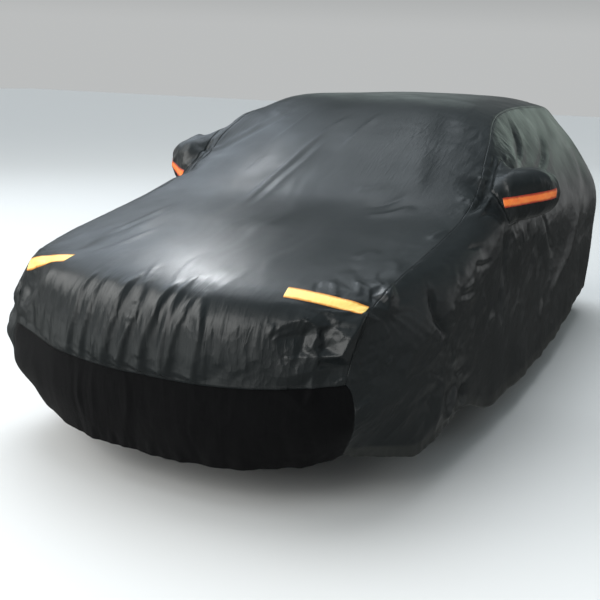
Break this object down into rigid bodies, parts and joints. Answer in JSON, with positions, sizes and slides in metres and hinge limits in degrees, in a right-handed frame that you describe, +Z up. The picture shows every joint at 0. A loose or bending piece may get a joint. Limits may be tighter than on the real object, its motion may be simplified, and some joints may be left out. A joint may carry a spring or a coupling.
{
  "type": "fitted car cover",
  "caption": "Fitted cloth cover for a compact hatchback car, in its draped shape, with mirror pouches, reflective strips and a gathered elastic hem.",
  "frame": {"origin": "under the roof cloth at the roof's crown, on the middle line, where the car's roof carries the cover", "axes": "+Y towards the tail, +X towards the car's left side, +Z up; the ground is at Z = -1.438 m"},
  "size_m": [2.0836, 4.3418, 1.3113],
  "materials": {
    "coated_cloth": "dark slate coated cloth with a soft gloss",
    "plain_cloth": "black cloth with a dull finish",
    "yellow_reflective": "pale yellow reflective tape, sewn along its edges",
    "orange_reflective": "orange reflective tape, sewn along its edges"
  },
  "bodies": {
    "root": {"centre_panel": "coated_cloth", "side_panel_left": "coated_cloth", "side_panel_right": "coated_cloth", "mirror_pouch_left": "coated_cloth", "mirror_pouch_right": "coated_cloth", "nose_panel": "plain_cloth", "tail_panel": "plain_cloth", "front_strip_left": "yellow_reflective", "front_strip_right": "yellow_reflective", "mirror_strip_left": "orange_reflective", "mirror_strip_right": "orange_reflective"}
  },
  "joints": []
}
